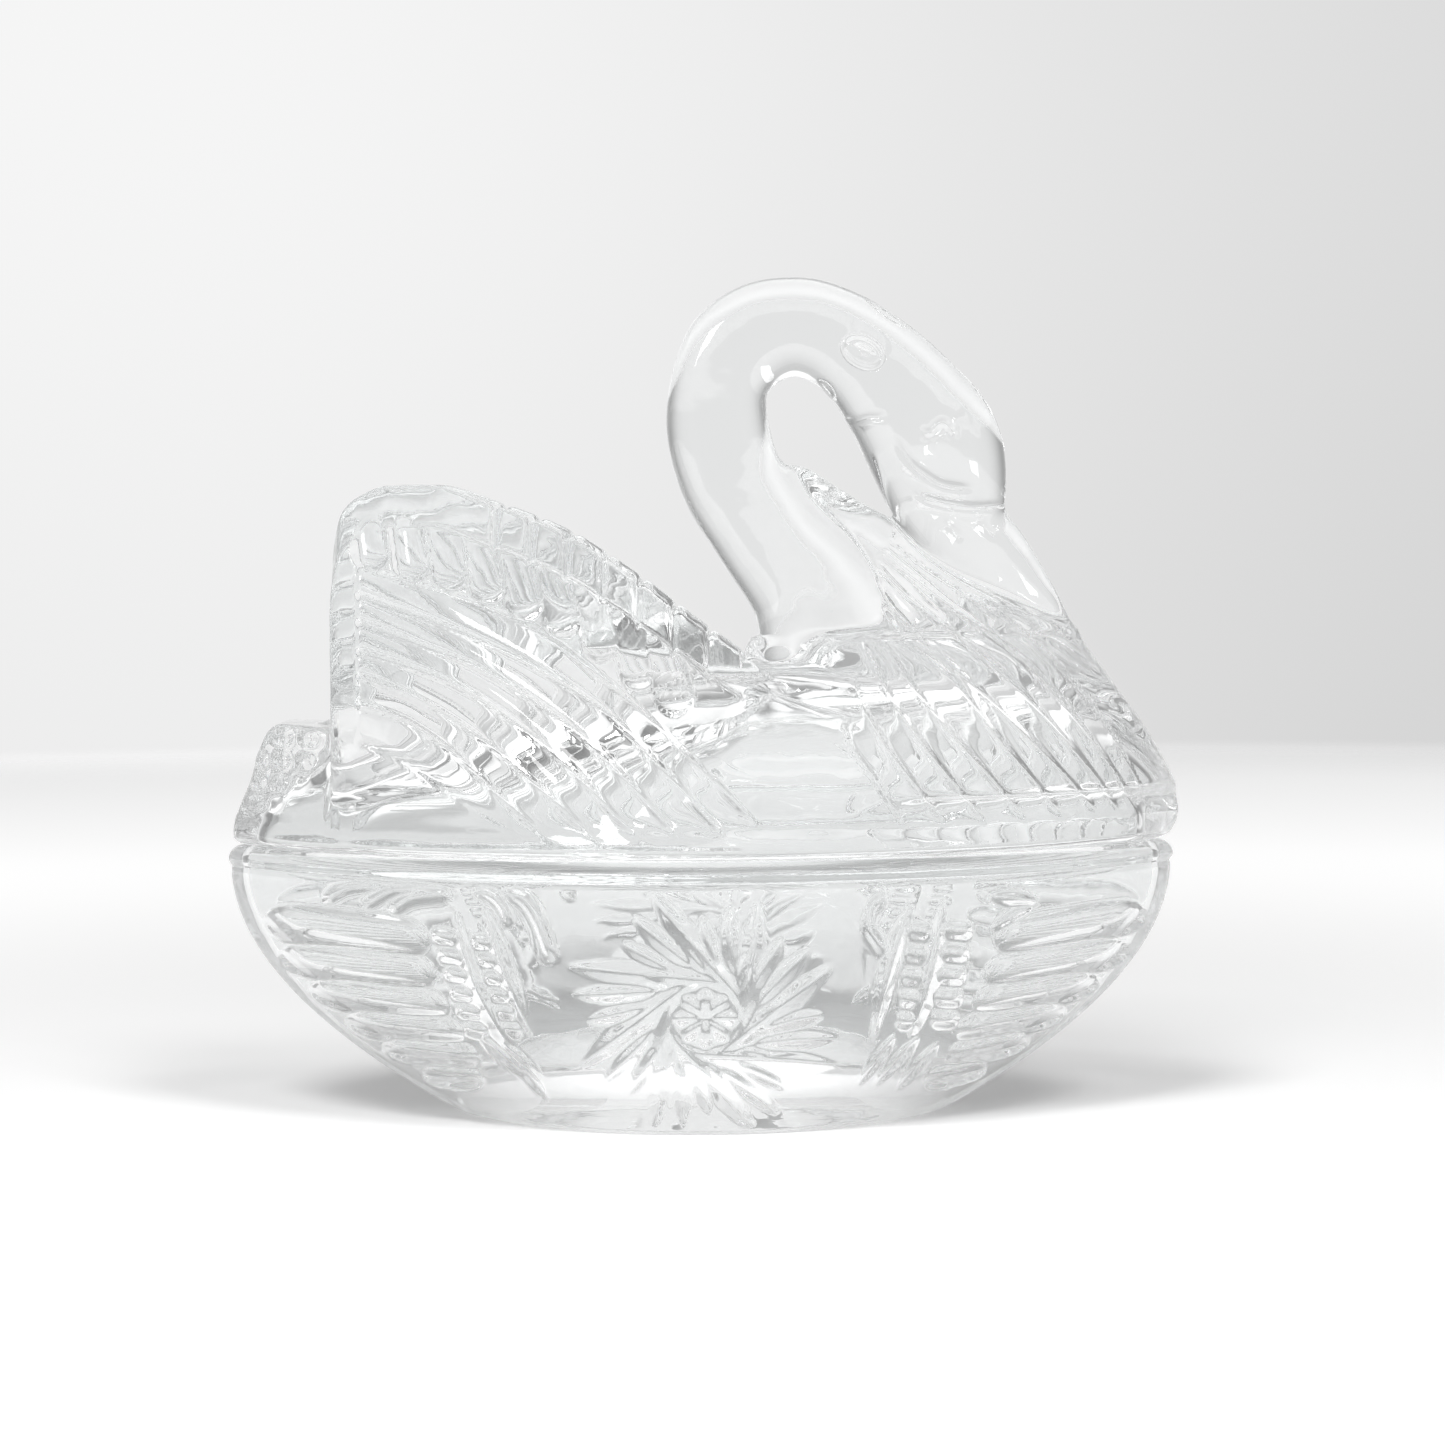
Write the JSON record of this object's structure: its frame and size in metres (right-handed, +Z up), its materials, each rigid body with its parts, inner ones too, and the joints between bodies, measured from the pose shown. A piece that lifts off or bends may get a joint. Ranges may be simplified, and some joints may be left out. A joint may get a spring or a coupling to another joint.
{
  "type": "covered glass dish",
  "caption": "Swan-shaped covered dish in clear cut crystal: a boat-shaped bowl with a lift-off lid moulded as a swan, its neck looped over to its breast.",
  "frame": {"origin": "middle of the underside of the flat foot", "axes": "+Z up, +X along the dish towards the swan's beak and breast, +Y across the dish to the swan's left"},
  "size_m": [0.1408, 0.076, 0.1232],
  "materials": {
    "lead_crystal": "polished clear lead crystal"
  },
  "bodies": {
    "bowl": {"bowl": "lead_crystal"},
    "lid": {"swan_lid": "lead_crystal"}
  },
  "joints": [
    {"name": "lid_lift", "type": "slide", "parent": "bowl", "child": "lid", "axis": [0, 0, 1], "range_m": [0, 0.08]}
  ]
}
